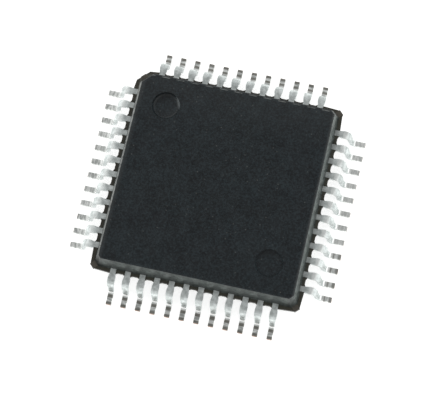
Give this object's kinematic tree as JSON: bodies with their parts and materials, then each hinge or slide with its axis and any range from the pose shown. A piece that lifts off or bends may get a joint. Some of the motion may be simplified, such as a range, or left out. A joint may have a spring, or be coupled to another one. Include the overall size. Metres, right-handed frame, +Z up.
{
  "type": "quad flat pack chip",
  "caption": "Low-profile quad flat pack: a square moulded body with a cut corner and a round pin mark, gull-wing leads on every side, and the chip and its bond wires inside.",
  "frame": {"origin": "middle of the package on the plane that the feet stand on", "axes": "+Z up out of the board, +X to the right and +Y to the back with the pin 1 corner at -X, +Y"},
  "size_m": [0.009, 0.009, 0.0015],
  "materials": {
    "mould_compound": "fine matt epoxy moulding compound",
    "tin_plating": "matt tin plating over copper alloy",
    "frame_copper": "bare copper alloy sheet",
    "die_adhesive": "silver-filled epoxy",
    "silicon": "polished silicon",
    "bond_gold": "drawn gold wire"
  },
  "bodies": {
    "root": {"mould_body": "mould_compound", "lead_01": "tin_plating", "lead_02": "tin_plating", "lead_03": "tin_plating", "lead_04": "tin_plating", "lead_05": "tin_plating", "lead_06": "tin_plating", "lead_07": "tin_plating", "lead_08": "tin_plating", "lead_09": "tin_plating", "lead_10": "tin_plating", "lead_11": "tin_plating", "lead_12": "tin_plating", "lead_13": "tin_plating", "lead_14": "tin_plating", "lead_15": "tin_plating", "lead_16": "tin_plating", "lead_17": "tin_plating", "lead_18": "tin_plating", "lead_19": "tin_plating", "lead_20": "tin_plating", "lead_21": "tin_plating", "lead_22": "tin_plating", "lead_23": "tin_plating", "lead_24": "tin_plating", "lead_25": "tin_plating", "lead_26": "tin_plating", "lead_27": "tin_plating", "lead_28": "tin_plating", "lead_29": "tin_plating", "lead_30": "tin_plating", "lead_31": "tin_plating", "lead_32": "tin_plating", "lead_33": "tin_plating", "lead_34": "tin_plating", "lead_35": "tin_plating", "lead_36": "tin_plating", "lead_37": "tin_plating", "lead_38": "tin_plating", "lead_39": "tin_plating", "lead_40": "tin_plating", "lead_41": "tin_plating", "lead_42": "tin_plating", "lead_43": "tin_plating", "lead_44": "tin_plating", "lead_45": "tin_plating", "lead_46": "tin_plating", "lead_47": "tin_plating", "lead_48": "tin_plating", "die_pad": "frame_copper", "die_attach": "die_adhesive", "silicon_die": "silicon", "bond_wires_left": "bond_gold", "bond_wires_front": "bond_gold", "bond_wires_right": "bond_gold", "bond_wires_back": "bond_gold"}
  },
  "joints": []
}
